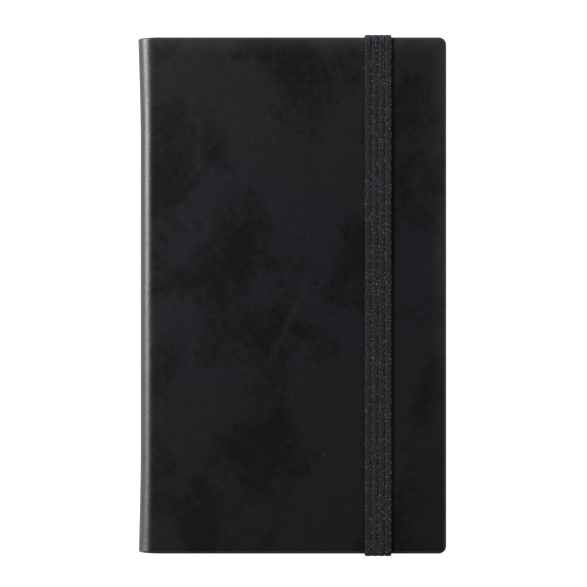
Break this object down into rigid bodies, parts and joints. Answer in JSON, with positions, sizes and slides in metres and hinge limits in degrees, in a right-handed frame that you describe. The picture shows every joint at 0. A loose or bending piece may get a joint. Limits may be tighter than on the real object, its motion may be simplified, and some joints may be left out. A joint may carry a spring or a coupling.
{
  "type": "pocket notebook",
  "caption": "Pocket notebook with a smooth black hard cover, soft rounded spine, sewn cream pages and a ribbed elastic band that holds it shut.",
  "frame": {"origin": "under the middle of the closed notebook, on the face of the back cover that it lies on", "axes": "+X from the spine to the fore-edge, +Y from the tail to the head, +Z from the back cover to the front cover"},
  "size_m": [0.089, 0.1514, 0.0157],
  "materials": {
    "case_skin": "smooth semi-gloss black leather-look skin",
    "board": "grey binder's board",
    "mull": "open-weave lining gauze",
    "glue": "dried binding glue",
    "thread": "waxed linen thread",
    "headband_cloth": "woven headband cloth",
    "page_paper": "uncoated cream paper",
    "endpaper": "heavier cream endpaper",
    "elastic": "black ribbed knitted elastic"
  },
  "bodies": {
    "back_cover": {"case_skin_back": "case_skin", "case_skin_joint": "case_skin", "back_board": "board", "spine_inlay": "board", "mull": "mull", "spine_glue": "glue", "sewing_thread": "thread", "headband": "headband_cloth", "tailband": "headband_cloth", "section_01": "page_paper", "section_02": "page_paper", "section_03": "page_paper", "section_04": "page_paper", "section_05": "page_paper", "section_06": "page_paper", "section_07": "page_paper", "section_08": "page_paper", "section_09": "page_paper", "section_10_fold": "page_paper", "section_11_fold": "page_paper", "section_12_fold": "page_paper", "back_pastedown": "endpaper", "back_flyleaf": "endpaper", "front_endpaper_fold": "endpaper", "band_end_head": "elastic", "band_end_tail": "elastic"},
    "front_cover": {"case_skin_front": "case_skin", "front_board": "board", "front_pastedown": "endpaper"},
    "flyleaf": {"front_flyleaf": "endpaper"},
    "section_12": {"section_12_leaves": "page_paper"},
    "section_11": {"section_11_leaves": "page_paper"},
    "section_10": {"section_10_leaves": "page_paper"},
    "band": {"band_front_run": "elastic"},
    "band_legs": {"band_leg_head": "elastic", "band_leg_tail": "elastic"}
  },
  "joints": [
    {"name": "front_cover_hinge", "type": "hinge", "parent": "back_cover", "child": "front_cover", "pos_m": [-0.0433, 0, 0.0124], "axis": [0, -1, 0], "range_deg": [0, 178], "deforming": ["case_skin_joint"]},
    {"name": "flyleaf_turn", "type": "hinge", "parent": "back_cover", "child": "flyleaf", "pos_m": [-0.0419, 0, 0.0129], "axis": [0, -1, 0], "range_deg": [0, 177.47], "deforming": ["front_endpaper_fold"]},
    {"name": "section_12_turn", "type": "hinge", "parent": "back_cover", "child": "section_12", "pos_m": [-0.0419, 0, 0.0129], "axis": [0, -1, 0], "range_deg": [0, 175.87], "deforming": ["section_12_fold"]},
    {"name": "section_11_turn", "type": "hinge", "parent": "back_cover", "child": "section_11", "pos_m": [-0.0419, 0, 0.0129], "axis": [0, -1, 0], "range_deg": [0, 174.09], "deforming": ["section_11_fold"]},
    {"name": "section_10_turn", "type": "hinge", "parent": "back_cover", "child": "section_10", "pos_m": [-0.0419, 0, 0.0129], "axis": [0, -1, 0], "range_deg": [0, 172.31], "deforming": ["section_10_fold"]},
    {"name": "band_swing", "type": "hinge", "parent": "back_cover", "child": "band", "pos_m": [0.0375, 0, 0.008], "axis": [0, 1, 0], "range_deg": [0, 180]},
    {"name": "band_legs_slide", "type": "slide", "parent": "back_cover", "child": "band_legs", "axis": [1, 0, 0], "range_m": [0, 0.0256], "deforming": ["band_leg_head", "band_leg_tail", "band_end_head", "band_end_tail"]}
  ],
  "couplings": [
    {"joint": "flyleaf_turn", "follows": "front_cover_hinge", "ratio": 0.997},
    {"joint": "section_12_turn", "follows": "front_cover_hinge", "ratio": 0.988},
    {"joint": "section_11_turn", "follows": "front_cover_hinge", "ratio": 0.978},
    {"joint": "section_10_turn", "follows": "front_cover_hinge", "ratio": 0.968},
    {"joint": "band_legs_slide", "follows": "band_swing", "m_per_rad": 0.0081487}
  ]
}
